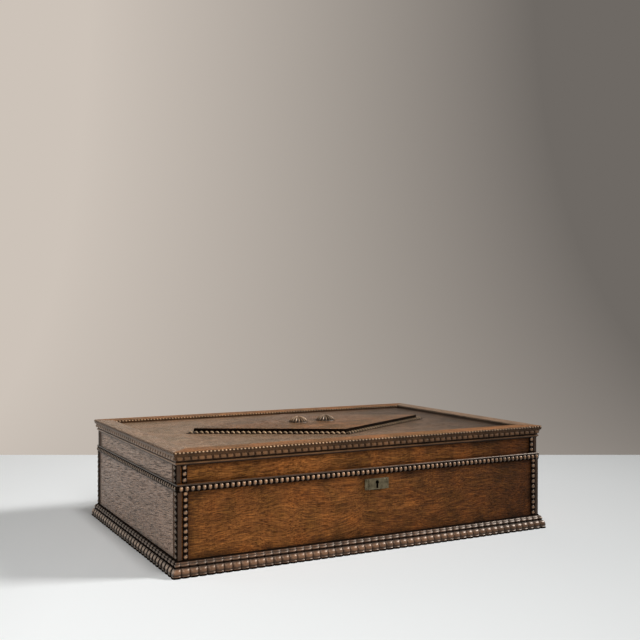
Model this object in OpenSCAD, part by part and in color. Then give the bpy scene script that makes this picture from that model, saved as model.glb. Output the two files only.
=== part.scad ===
// Oak table box for paper: a moulded case, a hinged lid with a raised lozenge, and a box lock.
// Origin: centre of the base on the table. X runs along the front, the front faces -Y, Z is up.

/* [Case] */
// Width of the case across its side boards
case_w = 484; // [400:1:600]
// Depth of the case from front face to back face
case_d = 298; // [260:1:420]
// Height of the joint between case and lid above the table
case_h = 94.5; // [80:0.5:160]
// Thickness of the boards of case and lid
board_t = 14; // [13:0.5:18]
// Thickness of the bottom board
bottom_t = 8; // [5:0.5:12]
// Space under the bottom board
bottom_lift = 3; // [1:0.5:8]

/* [Plinth] */
// Height of the gadrooned plinth moulding
plinth_h = 11.1; // [10:0.1:15]
// Reach of the plinth's foot beyond the case
plinth_out = 8; // [7:0.1:9]
// Height of the small fillet at the plinth's foot
foot_h = 2.9; // [2:0.1:4]
// Depth of the groove above that fillet
foot_groove = 0.6; // [0.3:0.1:0.9]
// Depth of the plinth above its rounded gadroons
plinth_back_t = 2.6; // [2:0.1:3.4]
// Height of the base bead that stands on the plinth
base_bead_h = 5.6; // [4:0.1:7]
// Reach of the base bead beyond the case
base_bead_out = 4; // [3:0.1:5]

/* [Rim moulding] */
// Width of the split turned beads along the case's top edge
rim_bead_d = 6.5; // [6:0.1:8]
// Reach of these beads beyond the case
rim_bead_out = 3; // [2.2:0.1:3.6]
// Spacing of these beads
rim_pitch = 6.45; // [5.6:0.05:7]
// Height of the plain fillet above the beads
rim_fillet_h = 1.4; // [0.8:0.1:3]
// Thickness of the strip that the beads are cut from
rim_back_t = 0.9; // [0.6:0.1:1.5]
// How far the moulding stops below the case's top edge
rim_drop = 0.2; // [0.1:0.1:1]

/* [Corner strips] */
// Width of the split turned strips at the corners
corner_bead_d = 6.4; // [5:0.1:7]
// Spacing of their beads
corner_pitch = 6.5; // [5:0.1:7]
// Reach of the front strips beyond their board
front_bead_out = 2.8; // [2:0.1:3]
// Reach of the side strips beyond their board
side_bead_out = 2; // [1.5:0.1:2.6]
// Width of the plain fillet at each front corner
fillet_w = 4.2; // [3:0.1:6]
// Reach of the plain fillet and of the lid's plain back strips
fillet_out = 0.8; // [0.4:0.1:1.5]
// Width of the plain strips at the lid's back corners
back_strip_w = 5.5; // [4:0.1:8]
// Open quirk between a fillet and its beaded strip
quirk_w = 0.9; // [0.5:0.1:2]

/* [Lid] */
// How far the lid's boards stand back from the case, at front and back
lid_set = 3; // [2:0.1:5]
// Height of the lid's boards
lid_board_h = 29.6; // [26:0.1:38]
// Thickness of the mitred frame
frame_t = 4.1; // [3.4:0.1:6]
// Width of the mitred frame
frame_w = 22.8; // [21:0.1:40]
// Reach of the frame beyond the lid's boards
frame_out = 5.8; // [4.8:0.1:8]
// Thickness of the panel, which lies sunk under the frame
panel_t = 7; // [4:0.5:10]
// Height of the cornice moulding under the frame
cornice_h = 10.7; // [10:0.1:13]
// Reach of the cornice at its top
cornice_out = 4.9; // [4:0.1:6]

/* [Lozenge] */
// Half length of the lozenge board
lozenge_a = 165; // [100:1:180]
// Half width of the lozenge board
lozenge_b = 83; // [60:1:110]
// Thickness of the lozenge board
lozenge_t = 6; // [5:0.5:10]
// Width of the split turned strips round it
lozenge_bead_d = 6.4; // [5:0.1:8]
// Spacing of their beads
lozenge_pitch = 6.4; // [4.5:0.1:7]
// Radius of each carved boss
boss_r = 13; // [8:0.5:18]
// Height of each carved boss
boss_h = 8.3; // [6:0.1:12]
// Height of the flat rim round each boss
boss_rim_h = 1.5; // [1:0.1:3]
// Distance of each boss from the centre
boss_x = 20; // [19:0.5:40]

/* [Lock and escutcheon] */
// Width of the escutcheon plate
plate_w = 32; // [24:0.5:40]
// Height of the escutcheon plate
plate_h = 12.4; // [11:0.2:16]
// Thickness of the escutcheon plate at its ends
plate_t = 1; // [0.6:0.1:2]
// Width of each lower end of the plate
plate_end_w = 5; // [4:0.1:6]
// How far the plate's middle stands above its ends
plate_field_t = 0.7; // [0.4:0.1:1.5]
// Radius of the four plate pins
plate_pin_r = 0.8; // [0.6:0.1:1]
// Distance of the key's centre below the case's top edge
key_drop = 17.1; // [16:0.1:19]
// Radius of the keyhole's round head
keyhole_r = 2.2; // [1.8:0.1:2.6]
// Width of the keyhole's slot
key_slot_w = 2.6; // [2:0.1:3]
// Depth of the slot below the key's centre
key_slot_h = 6.8; // [5:0.1:7.2]
// Width of the lock's case
lock_w = 56; // [54:1:70]
// Height of the lock's case
lock_h = 33; // [30:1:40]
// Depth of the lock, plate included
lock_d = 9.4; // [9.4:0.1:10]
// Thickness of the lock's plates
lock_wall = 1.2; // [0.8:0.1:1.4]
// How far the lock's back plate reaches past its case
lock_flange = 6; // [5.5:0.1:8]
// Length of the bolt
bolt_l = 27; // [24:1:30]
// Height of the bolt
bolt_h = 5; // [4:0.1:5.6]
// Thickness of the bolt
bolt_t = 3; // [2.4:0.1:3.2]
// Travel of the bolt
bolt_travel = 8; // [6:0.5:9]
// Thickness of the staple that the bolt catches
staple_t = 2.5; // [2:0.1:3]
// Length of the link plate under the lid
link_w = 36; // [34:1:50]
// Thickness of the link plate
link_t = 1.5; // [1.2:0.1:2]

/* [Hinges] */
// Distance of each hinge's middle from the case's end
hinge_inset = 92; // [60:1:110]
// Length of each hinge
hinge_l = 50; // [40:1:60]
// Thickness of the hinge leaves
leaf_t = 1.5; // [1.2:0.1:2]
// Radius of the hinge knuckles
knuckle_r = 2.5; // [2.3:0.1:3]
// Radius of the hinge pins
hinge_pin_r = 1.2; // [0.9:0.05:1.4]

/* [Screws] */
// Radius of the screws' shanks
screw_r = 1.3; // [1:0.1:1.5]
// Radius of the screws' heads
head_r = 2.3; // [2:0.1:2.6]
// Thickness of the screws' heads
head_t = 0.9; // [0.6:0.1:1]
// Length of the screws
screw_l = 9; // [6:0.5:10]

/* [Clearances] */
// Running clearance between the hinge pins and the lid's knuckles
pin_clearance = 0.05; // [0.02:0.01:0.09]
// Clearance between a knuckle and the edge beside it
knuckle_clearance = 0.2; // [0.1:0.05:0.4]
// How far past upright the lid leans on the knuckles' square backs, in degrees
lean = 10; // [2:1:15]
// Clearance round the lock, its bolt and the staple
lock_clearance = 0.3; // [0.2:0.05:0.4]
// End clearance between the hinge knuckles
knuckle_gap = 0.2; // [0.1:0.05:0.4]
// Clearance round the screws
screw_clearance = 0.02; // [0.01:0.01:0.05]

/* [Hidden] */
$fn = 48;

eps = 0.01;
half_w = case_w / 2;
half_d = case_d / 2;
lid_half_d = half_d - lid_set;
strip_z0 = plinth_h + base_bead_h;
rim_z1 = case_h - rim_drop;
rim_bead_z = rim_z1 - rim_fillet_h - rim_bead_d / 2;
rim_z0 = rim_bead_z - rim_bead_d / 2;
frame_z0 = case_h + lid_board_h;
frame_z1 = frame_z0 + frame_t;
panel_z0 = frame_z0 - panel_t;
cornice_z0 = frame_z0 - cornice_h;
lozenge_z1 = frame_z0 + lozenge_t;

// The lock sits in a mortise that opens at the front board's inner face and top edge.
inner_y = -half_d + board_t;
plate_y = inner_y - lock_wall;
lock_y0 = inner_y - lock_d;
lock_z0 = case_h - lock_h;
key_z = case_h - key_drop;
bolt_z0 = case_h - 10.5;
bolt_y0 = lock_y0 + lock_wall + lock_clearance;
bolt_x1 = 5;
bolt_x0 = bolt_x1 - bolt_l;
staple_x0 = bolt_x1 + 2.5;
staple_mid_x = staple_x0 + staple_t / 2;
staple_y0 = lock_y0 + lock_wall + lock_clearance + 0.1;
staple_y1 = plate_y - lock_clearance - 0.1;
staple_z0 = bolt_z0 - 1.7;
link_screw_x = link_w / 2 - 4;
lock_screw_x = lock_w / 2 + lock_flange / 2;

// The hinge pins lie level with the joint, just behind the case. The lid's leaf runs back to the
// case's back face, and its edge lands on the case knuckles' square backs when the lid is open.
hinge_x = half_w - hinge_inset;
hinge_y = half_d + knuckle_clearance + knuckle_r;
knuckle_l = (hinge_l - 2 * knuckle_gap) / 3;
leaf_w = 12;
leaf_y0 = half_d - leaf_w;
leaf_screw_y = (leaf_y0 + lid_half_d) / 2;
stop_slack = 0.02;
stop_h = (knuckle_r + knuckle_clearance) * cos(lean) - leaf_t * sin(lean) - stop_slack;

oak = "saddlebrown";
dark_oak = "peru";
brass = "darkgoldenrod";
steel = "slategray";

// Shared shapes

// A bar between mitred ends, from a profile whose x runs from 0 at the board to minus its reach.
module mitred_bar(half_len, offset_y, reach, inward = 0) {
    intersection() {
        translate([-half_len - reach, -offset_y, 0])
            rotate([90, 0, 90])
                linear_extrude(2 * (half_len + reach)) children();
        linear_extrude(frame_z1 + boss_h)
            polygon([[-half_len + inward, -offset_y + inward],
                     [half_len - inward, -offset_y + inward],
                     [half_len + reach, -offset_y - reach],
                     [-half_len - reach, -offset_y - reach]]);
    }
}

// Places a front piece on one of the four sides; side 0 is the front, and the rest run anticlockwise.
module on_side(side) {
    rotate([0, 0, 90 * side]) children();
}

function side_len(side) = side % 2 == 0 ? half_w : half_d;
function side_off(side) = side % 2 == 0 ? half_d : half_w;
function lid_side_len(side) = side % 2 == 0 ? half_w : lid_half_d;
function lid_side_off(side) = side % 2 == 0 ? lid_half_d : half_w;

// A turned string of touching beads along X; the first bead is whole and starts at the -X end.
module bead_string(len, pitch, d, count) {
    core_r = d / 5;
    rotate([0, 90, 0])
        rotate_extrude()
            translate([0, -len / 2])
                intersection() {
                    union() {
                        for (i = [0 : count - 1])
                            translate([0, (i + 0.5) * pitch]) circle(d = d);
                        square([core_r, len]);
                    }
                    square([d, len]);
                }
}

// Half of such a string, flat on the plane y = 0 and standing "out" towards -Y.
module split_string(len, pitch, d, out, count) {
    difference() {
        translate([0, d / 2 - out, 0]) bead_string(len, pitch, d, count);
        translate([-len, 0, -d]) cube([2 * len, d + out, 2 * d]);
    }
}

module upright_split_string(z0, z1, pitch, d, out, count) {
    translate([0, 0, (z0 + z1) / 2])
        rotate([0, -90, 0]) split_string(z1 - z0, pitch, d, out, count);
}

// A screw whose head's top lies at the origin and whose shank points down.
module screw() {
    translate([0, 0, -head_t]) cylinder(h = head_t, r = head_r);
    translate([0, 0, -screw_l]) cylinder(h = screw_l - head_t + eps, r = screw_r);
}

module screw_hole() {
    translate([0, 0, -head_t]) cylinder(h = head_t + eps, r = head_r + screw_clearance);
    translate([0, 0, -screw_l]) cylinder(h = screw_l, r = screw_r + screw_clearance);
}

// Places of the screws

module at_lock_screws() {
    for (x = [-lock_screw_x, lock_screw_x], z = [lock_z0 + 4, case_h - 9])
        translate([x, inner_y, z]) rotate([-90, 0, 0]) children();
}

module at_hinge_screws(up) {
    for (side = [-1, 1], dx = [-1, 0, 1])
        translate([side * hinge_x + dx * hinge_l / 3, leaf_screw_y, case_h])
            rotate([up ? 180 : 0, 0, 0]) children();
}

module at_link_screws() {
    for (s = [-1, 1])
        translate([staple_mid_x + s * link_screw_x, (staple_y0 + staple_y1) / 2, case_h])
            rotate([180, 0, 0]) children();
}

// Case

module keyhole_cut(y0, y1) {
    translate([0, y1, key_z]) rotate([90, 0, 0]) cylinder(h = y1 - y0, r = keyhole_r);
    translate([-key_slot_w / 2, y0, key_z - key_slot_h]) cube([key_slot_w, y1 - y0, key_slot_h]);
}

module front_board() {
    mortise_w = lock_w + 2 * lock_clearance;
    color(oak)
        difference() {
            translate([-half_w, -half_d, 0]) cube([case_w, board_t, case_h]);
            translate([-mortise_w / 2, lock_y0 - lock_clearance, lock_z0 - lock_clearance])
                cube([mortise_w, lock_d + lock_clearance + 1, lock_h + lock_clearance + 1]);
            translate([-lock_w / 2 - lock_flange, plate_y, lock_z0 - lock_flange / 2])
                cube([lock_w + 2 * lock_flange, lock_wall + 1, lock_h + lock_flange]);
            keyhole_cut(-half_d - 1, lock_y0);
            at_lock_screws() screw_hole();
            at_plate_pins(0) cylinder(h = 3, r = plate_pin_r * 0.6);
        }
}

module back_board() {
    color(oak)
        difference() {
            translate([-half_w, half_d - board_t, 0]) cube([case_w, board_t, case_h]);
            for (side = [-1, 1])
                translate([side * hinge_x - hinge_l / 2, leaf_y0, case_h - leaf_t])
                    cube([hinge_l, board_t, leaf_t + 1]);
            at_hinge_screws(false) screw_hole();
        }
}

module side_board(sign) {
    color(oak)
        translate([sign > 0 ? half_w - board_t : -half_w, -half_d + board_t, 0])
            cube([board_t, case_d - 2 * board_t, case_h]);
}

module left_board() {
    side_board(-1);
}

module right_board() {
    side_board(1);
}

module bottom_board() {
    color(oak)
        translate([-half_w + board_t, -half_d + board_t, bottom_lift])
            cube([case_w - 2 * board_t, case_d - 2 * board_t, bottom_t]);
}

// Plinth section: a foot fillet, a groove, and a round swelling under a flat top.
module plinth_profile() {
    groove_h = 0.5;
    swell_z = foot_h + groove_h;
    swell_r = plinth_out - foot_groove;
    mirror([1, 0]) {
        square([plinth_back_t, plinth_h]);
        square([plinth_out, foot_h]);
        square([plinth_out - 2 * foot_groove, swell_z]);
        intersection() {
            translate([0, swell_z]) circle(r = swell_r);
            translate([0, swell_z]) square([swell_r, plinth_h - swell_z - groove_h]);
        }
    }
}

module plinth_side(side) {
    color(dark_oak)
        on_side(side)
            mitred_bar(side_len(side), side_off(side), plinth_out) plinth_profile();
}

module base_bead_profile() {
    r = base_bead_h / 2;
    translate([-base_bead_out + r, plinth_h + r]) circle(r = r);
    translate([-base_bead_out + r, plinth_h]) square([base_bead_out - r, base_bead_h]);
}

module base_bead_side(side) {
    color(dark_oak)
        on_side(side)
            mitred_bar(side_len(side), side_off(side), base_bead_out) base_bead_profile();
}

module rim_bead_side(side) {
    len = 2 * side_len(side);
    count = floor(len / rim_pitch);
    color(dark_oak)
        on_side(side)
            translate([0, -side_off(side), 0]) {
                translate([-len / 2, -rim_back_t, rim_z0]) cube([len, rim_back_t, rim_z1 - rim_z0]);
                translate([-len / 2, -rim_back_t - 0.3, rim_z1 - rim_fillet_h])
                    cube([len, rim_back_t + 0.3, rim_fillet_h]);
                translate([0, 0, rim_bead_z])
                    split_string(len, len / count, rim_bead_d, rim_bead_out, count);
            }
}

module rim_bead_back() {
    difference() {
        rim_bead_side(2);
        for (side = [-1, 1])
            translate([side * hinge_x - hinge_l / 2 - 0.5, half_d - 1, case_h - knuckle_r - 0.5])
                cube([hinge_l + 1, rim_bead_out + 2, knuckle_r + 1]);
    }
}

front_bead_x = half_w - fillet_w - quirk_w - corner_bead_d / 2;

module front_beads(offset_y, z0, z1, count) {
    color(dark_oak)
        for (side = [-1, 1])
            translate([side * front_bead_x, -offset_y, 0])
                upright_split_string(z0, z1, corner_pitch, corner_bead_d, front_bead_out, count);
}

module side_beads(offset_y, z0, z1, count, ends) {
    color(dark_oak)
        for (side = [-1, 1], y_end = ends)
            translate([side * half_w, y_end * (offset_y - corner_bead_d / 2), 0])
                rotate([0, 0, 90 * side])
                    upright_split_string(z0, z1, corner_pitch, corner_bead_d, side_bead_out, count);
}

module front_fillets(offset_y, z0, z1) {
    color(dark_oak)
        for (side = [-1, 1])
            translate([side > 0 ? half_w - fillet_w : -half_w, -offset_y - fillet_out, z0])
                cube([fillet_w, fillet_out, z1 - z0]);
}

case_strip_count = ceil((rim_z0 - strip_z0) / corner_pitch);

module case_front_beads() {
    front_beads(half_d, strip_z0, rim_z0, case_strip_count);
}

module case_side_beads() {
    side_beads(half_d, strip_z0, rim_z0, case_strip_count, [-1, 1]);
}

module case_front_fillets() {
    front_fillets(half_d, strip_z0, rim_z0);
}

// Lock

module lock_case() {
    bottom = lock_z0;
    color(steel)
        difference() {
            union() {
                difference() {
                    translate([-lock_w / 2, lock_y0, bottom])
                        cube([lock_w, plate_y - lock_y0, lock_h]);
                    translate([-lock_w / 2 + lock_wall, lock_y0 + lock_wall, bottom + lock_wall])
                        cube([lock_w - 2 * lock_wall, lock_d, lock_h - 2 * lock_wall]);
                }
                translate([-lock_w / 2, lock_y0, bolt_z0 - lock_clearance - lock_wall])
                    cube([lock_w / 2 + bolt_x0 + 10, lock_wall + bolt_t, lock_wall]);
            }
            translate([staple_x0 - lock_clearance, lock_y0 + lock_wall, case_h - lock_wall - 1])
                cube([staple_t + 2 * lock_clearance, lock_d, lock_wall + 2]);
            keyhole_cut(lock_y0 - 1, lock_y0 + lock_wall + 1);
        }
}

module lock_plate() {
    color(brass)
        difference() {
            translate([-lock_w / 2 - lock_flange, plate_y, lock_z0 - lock_flange / 2])
                cube([lock_w + 2 * lock_flange, lock_wall, lock_h + lock_flange / 2]);
            at_lock_screws() screw_hole();
        }
}

module lock_key_pin() {
    color(steel)
        translate([0, plate_y, key_z])
            rotate([90, 0, 0]) cylinder(h = plate_y - lock_y0 - lock_wall, r = 1);
}

// A bowed leaf between the bolt and the lock's top.
module lock_spring() {
    spring_t = 0.6;
    z0 = bolt_z0 + bolt_h + 0.2;
    rise = case_h - lock_wall - z0 - spring_t;
    half = 8;
    spring_r = (half * half + rise * rise) / (2 * rise);
    color(steel)
        translate([(bolt_x0 + bolt_x1) / 2, bolt_y0 + bolt_t, z0 + spring_r])
            rotate([90, 0, 0])
                intersection() {
                    difference() {
                        cylinder(h = bolt_t, r = spring_r);
                        translate([0, 0, -1]) cylinder(h = bolt_t + 2, r = spring_r - spring_t);
                    }
                    translate([-half, -spring_r - 1, 0])
                        cube([2 * half, rise + spring_t + 1, bolt_t]);
                }
}

module lock_bolt() {
    color(brass)
        difference() {
            translate([bolt_x0, bolt_y0, bolt_z0]) cube([bolt_l, bolt_t, bolt_h]);
            translate([bolt_x0 + bolt_l * 0.6, bolt_y0 - 1, bolt_z0 - 1])
                cube([4, bolt_t + 2, 2.4]);
        }
}

// Escutcheon

plate_z = key_z - 1.9;

module at_plate_pins(out) {
    for (sx = [-1, 1], sz = [-1, 1])
        translate([sx * (plate_w - plate_end_w) / 2, -half_d - out, plate_z + sz * (plate_h / 2 - 2)])
            rotate([-90, 0, 0]) children();
}

module escutcheon_plate() {
    color(brass)
        difference() {
            union() {
                translate([-plate_w / 2, -half_d - plate_t, plate_z - plate_h / 2])
                    cube([plate_w, plate_t, plate_h]);
                translate([-plate_w / 2 + plate_end_w, -half_d - plate_t - plate_field_t,
                           plate_z - plate_h / 2])
                    cube([plate_w - 2 * plate_end_w, plate_t + plate_field_t, plate_h]);
            }
            keyhole_cut(-half_d - plate_t - 2, -half_d + 1);
            at_plate_pins(plate_t + 1) cylinder(h = plate_t + 2, r = plate_pin_r * 0.6);
        }
}

module escutcheon_pins() {
    shank_r = plate_pin_r * 0.6 - screw_clearance;
    color(brass)
        at_plate_pins(plate_t) {
            cylinder(h = plate_t + 2.5, r = shank_r);
            difference() {
                sphere(r = plate_pin_r);
                translate([-1, -1, 0]) cube([2, 2, 2]);
            }
        }
}

// Hinges

// A leaf with a knuckle at each x. Where "stop" is above 0, the knuckles have square backs so high.
module leaf(x0, z0, knuckle_xs, stop, bore_r, up) {
    color(brass)
        difference() {
            union() {
                translate([x0, leaf_y0, z0]) cube([hinge_l, leaf_w, leaf_t]);
                for (x = knuckle_xs) {
                    translate([x, leaf_y0, z0]) cube([knuckle_l, hinge_y - leaf_y0, leaf_t]);
                    translate([x, hinge_y, case_h])
                        rotate([0, 90, 0]) cylinder(h = knuckle_l, r = knuckle_r);
                    if (stop > 0)
                        translate([x, hinge_y, case_h]) cube([knuckle_l, knuckle_r, stop]);
                }
            }
            translate([x0 - 1, hinge_y, case_h])
                rotate([0, 90, 0]) cylinder(h = hinge_l + 2, r = bore_r);
            at_hinge_screws(up) screw_hole();
        }
}

module case_leaf(mid_x) {
    x0 = mid_x - hinge_l / 2;
    leaf(x0, case_h - leaf_t, [x0, x0 + hinge_l - knuckle_l], stop_h, hinge_pin_r, false);
}

module lid_leaf(mid_x) {
    x0 = mid_x - hinge_l / 2;
    leaf(x0, case_h, [x0 + knuckle_l + knuckle_gap], 0, hinge_pin_r + pin_clearance, true);
}

module hinge_case_leaf_left() {
    case_leaf(-hinge_x);
}

module hinge_case_leaf_right() {
    case_leaf(hinge_x);
}

module hinge_lid_leaf_left() {
    lid_leaf(-hinge_x);
}

module hinge_lid_leaf_right() {
    lid_leaf(hinge_x);
}

module hinge_pins() {
    color(steel)
        for (side = [-1, 1])
            translate([side * hinge_x - hinge_l / 2, hinge_y, case_h])
                rotate([0, 90, 0]) cylinder(h = hinge_l, r = hinge_pin_r);
}

module case_screws() {
    color(steel) {
        at_lock_screws() screw();
        at_hinge_screws(false) screw();
    }
}

// Lid

module lid_front_board() {
    color(oak)
        difference() {
            translate([-half_w, -lid_half_d, case_h]) cube([case_w, board_t, lid_board_h]);
            translate([staple_mid_x - link_w / 2, staple_y0, case_h - 1])
                cube([link_w, staple_y1 - staple_y0, link_t + 1]);
            at_link_screws() screw_hole();
        }
}

module lid_back_board() {
    color(oak)
        difference() {
            translate([-half_w, lid_half_d - board_t, case_h]) cube([case_w, board_t, lid_board_h]);
            for (side = [-1, 1])
                translate([side * hinge_x - hinge_l / 2, leaf_y0, case_h - 1])
                    cube([hinge_l, board_t, leaf_t + 1]);
            at_hinge_screws(true) screw_hole();
        }
}

module lid_side_board(sign) {
    color(oak)
        translate([sign > 0 ? half_w - board_t : -half_w, -lid_half_d + board_t, case_h])
            cube([board_t, 2 * (lid_half_d - board_t), lid_board_h]);
}

module lid_left_board() {
    lid_side_board(-1);
}

module lid_right_board() {
    lid_side_board(1);
}

small_bead_r = 1.2;
small_bead_z = frame_z1 - small_bead_r - 0.3;

// Frame section: a flat bar with a scratched line, and a row of small beads along each edge.
module frame_profile() {
    inner = frame_w - frame_out;
    line_w = 0.8;
    line_in = 4.6;
    difference() {
        translate([-frame_out + small_bead_r, frame_z0]) square([frame_w - small_bead_r, frame_t]);
        translate([-frame_out + line_in, frame_z1 - line_w]) square([line_w, 2 * line_w]);
    }
    translate([-frame_out + small_bead_r, small_bead_z]) circle(r = small_bead_r);
    translate([inner, small_bead_z]) circle(r = small_bead_r);
}

module frame_side(side) {
    reach_in = frame_w - frame_out + small_bead_r;
    color(oak)
        on_side(side)
            mitred_bar(lid_side_len(side), lid_side_off(side), frame_out, reach_in)
                frame_profile();
}

// Cornice section: a slanting lobed band over a quirk, a small astragal and a foot fillet.
module cornice_profile() {
    astragal_r = 1.1;
    astragal_out = 2.3;
    foot_out = 0.8;
    band_out = 2.6;
    band_z0 = cornice_z0 + 5;
    top_h = 0.6;
    polygon([[0, cornice_z0], [0, frame_z0], [-cornice_out, frame_z0],
             [-cornice_out, frame_z0 - top_h], [-band_out, band_z0],
             [-foot_out, band_z0 - 0.8], [-foot_out, cornice_z0]]);
    translate([-astragal_out + astragal_r, cornice_z0 + 1.2 + astragal_r]) circle(r = astragal_r);
    translate([-astragal_out + astragal_r, cornice_z0 + 1.2])
        square([astragal_out - astragal_r, 2 * astragal_r]);
}

module cornice_side(side) {
    color(dark_oak)
        on_side(side)
            mitred_bar(lid_side_len(side), lid_side_off(side), cornice_out) cornice_profile();
}

module lid_panel() {
    color(oak)
        translate([-half_w + board_t, -lid_half_d + board_t, panel_z0])
            cube([case_w - 2 * board_t, 2 * (lid_half_d - board_t), panel_t]);
}

module lozenge_board() {
    color(oak)
        translate([0, 0, frame_z0])
            linear_extrude(lozenge_t)
                polygon([[-lozenge_a, 0], [0, -lozenge_b], [lozenge_a, 0], [0, lozenge_b]]);
}

lozenge_side = sqrt(lozenge_a * lozenge_a + lozenge_b * lozenge_b);
lozenge_angle = atan(lozenge_b / lozenge_a);
strip_reach = lozenge_bead_d * 0.5;

// One split turned strip beside the lozenge's edge, kept to its own quarter of the lid.
module lozenge_bead(sx, sy) {
    count = floor((lozenge_side + 2 * lozenge_bead_d) / lozenge_pitch);
    len = count * lozenge_pitch;
    color(dark_oak)
        intersection() {
            translate([sx * lozenge_a / 2, sy * lozenge_b / 2, frame_z0])
                rotate([0, 0, -sx * sy * lozenge_angle])
                    translate([0, sy * strip_reach, 0])
                        rotate([-90, 0, 0])
                            split_string(len, lozenge_pitch, lozenge_bead_d, strip_reach, count);
            translate([sx > 0 ? 0 : -case_w, sy > 0 ? 0 : -case_w, frame_z0])
                cube([case_w, case_w, lozenge_bead_d]);
        }
}

module lozenge_bead_front_left() {
    lozenge_bead(-1, -1);
}

module lozenge_bead_front_right() {
    lozenge_bead(1, -1);
}

module lozenge_bead_back_right() {
    lozenge_bead(1, 1);
}

module lozenge_bead_back_left() {
    lozenge_bead(-1, 1);
}

// A carved boss: a flat rim and a domed crown.
module boss(x) {
    crown_r = boss_r - 1;
    crown_h = boss_h - boss_rim_h;
    ball_r = (crown_r * crown_r + crown_h * crown_h) / (2 * crown_h);
    color(dark_oak)
        translate([x, 0, lozenge_z1]) {
            cylinder(h = boss_rim_h, r = boss_r);
            intersection() {
                translate([0, 0, boss_h - ball_r]) sphere(r = ball_r);
                cylinder(h = boss_h, r = crown_r);
            }
        }
}

module boss_left() {
    boss(-boss_x);
}

module boss_right() {
    boss(boss_x);
}

lid_strip_z0 = case_h + 0.4;
lid_strip_count = ceil((cornice_z0 - lid_strip_z0) / corner_pitch);

module lid_front_beads() {
    front_beads(lid_half_d, lid_strip_z0, cornice_z0, lid_strip_count);
}

module lid_side_beads() {
    side_beads(lid_half_d, lid_strip_z0, cornice_z0, lid_strip_count, [-1]);
}

module lid_front_fillets() {
    front_fillets(lid_half_d, lid_strip_z0, cornice_z0);
}

module lid_back_strips() {
    color(dark_oak)
        for (side = [-1, 1])
            translate([side > 0 ? half_w : -half_w - fillet_out, lid_half_d - back_strip_w, lid_strip_z0])
                cube([fillet_out, back_strip_w, cornice_z0 - lid_strip_z0]);
}

// The link plate carries the staple that hangs into the lock.
module link_plate() {
    width = staple_y1 - staple_y0;
    hole_w = bolt_t + 2 * lock_clearance;
    color(brass)
        difference() {
            union() {
                translate([staple_mid_x - link_w / 2, staple_y0, case_h])
                    cube([link_w, width, link_t]);
                translate([staple_x0, staple_y0, staple_z0])
                    cube([staple_t, width, case_h - staple_z0 + eps]);
            }
            translate([staple_x0 - 1, bolt_y0 - lock_clearance, bolt_z0 - lock_clearance])
                cube([staple_t + 2, hole_w, bolt_h + 2 * lock_clearance]);
            at_link_screws() screw_hole();
        }
}

module lid_screws() {
    color(steel) {
        at_hinge_screws(true) screw();
        at_link_screws() screw();
    }
}

front_board();
back_board();
left_board();
right_board();
bottom_board();
plinth_side(0);  // plinth_front
plinth_side(1);  // plinth_right
plinth_side(2);  // plinth_back
plinth_side(3);  // plinth_left
base_bead_side(0);  // base_bead_front
base_bead_side(1);  // base_bead_right
base_bead_side(2);  // base_bead_back
base_bead_side(3);  // base_bead_left
rim_bead_side(0);  // rim_bead_front
rim_bead_side(1);  // rim_bead_right
rim_bead_back();
rim_bead_side(3);  // rim_bead_left
case_front_beads();
case_side_beads();
case_front_fillets();
lock_case();
lock_plate();
lock_key_pin();
lock_spring();
lock_bolt();
escutcheon_plate();
escutcheon_pins();
hinge_case_leaf_left();
hinge_case_leaf_right();
hinge_pins();
case_screws();
lid_front_board();
lid_back_board();
lid_left_board();
lid_right_board();
frame_side(0);  // lid_frame_front
frame_side(1);  // lid_frame_right
frame_side(2);  // lid_frame_back
frame_side(3);  // lid_frame_left
cornice_side(0);  // cornice_front
cornice_side(1);  // cornice_right
cornice_side(2);  // cornice_back
cornice_side(3);  // cornice_left
lid_panel();
lozenge_board();
lozenge_bead_front_left();
lozenge_bead_front_right();
lozenge_bead_back_right();
lozenge_bead_back_left();
boss_left();
boss_right();
lid_front_beads();
lid_side_beads();
lid_back_strips();
lid_front_fillets();
hinge_lid_leaf_left();
hinge_lid_leaf_right();
link_plate();
lid_screws();
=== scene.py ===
import bpy
import math
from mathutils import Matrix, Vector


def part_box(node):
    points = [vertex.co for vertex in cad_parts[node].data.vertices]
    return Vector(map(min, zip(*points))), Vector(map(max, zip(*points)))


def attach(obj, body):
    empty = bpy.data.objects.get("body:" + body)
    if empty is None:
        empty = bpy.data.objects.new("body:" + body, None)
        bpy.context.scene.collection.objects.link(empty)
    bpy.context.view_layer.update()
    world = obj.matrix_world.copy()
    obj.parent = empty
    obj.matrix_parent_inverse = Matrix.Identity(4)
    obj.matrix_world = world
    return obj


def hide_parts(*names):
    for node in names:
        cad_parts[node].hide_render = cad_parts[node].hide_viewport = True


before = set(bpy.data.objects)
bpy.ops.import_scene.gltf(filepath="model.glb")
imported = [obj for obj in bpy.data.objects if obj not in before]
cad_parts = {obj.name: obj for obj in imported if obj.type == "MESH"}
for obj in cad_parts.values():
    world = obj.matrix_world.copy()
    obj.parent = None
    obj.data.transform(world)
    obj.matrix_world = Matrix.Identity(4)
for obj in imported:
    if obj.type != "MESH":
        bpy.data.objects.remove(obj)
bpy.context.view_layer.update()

# The camera stands before the box's left front corner, a hand's breadth above the lid, and looks
# almost level. It was solved from the box's own corners, and the shift is the photograph's crop.
heading = -0.44011
bpy.ops.object.camera_add(location=(-0.55385, -0.97274, 0.26979),
                          rotation=(math.pi / 2 - 0.00779, 0, heading))
camera = bpy.context.object
camera.data.lens = 48.42
camera.data.sensor_width = 36
camera.data.shift_x = 0.1172
bpy.context.scene.camera = camera
bpy.context.scene.view_settings.view_transform = "Standard"


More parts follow.
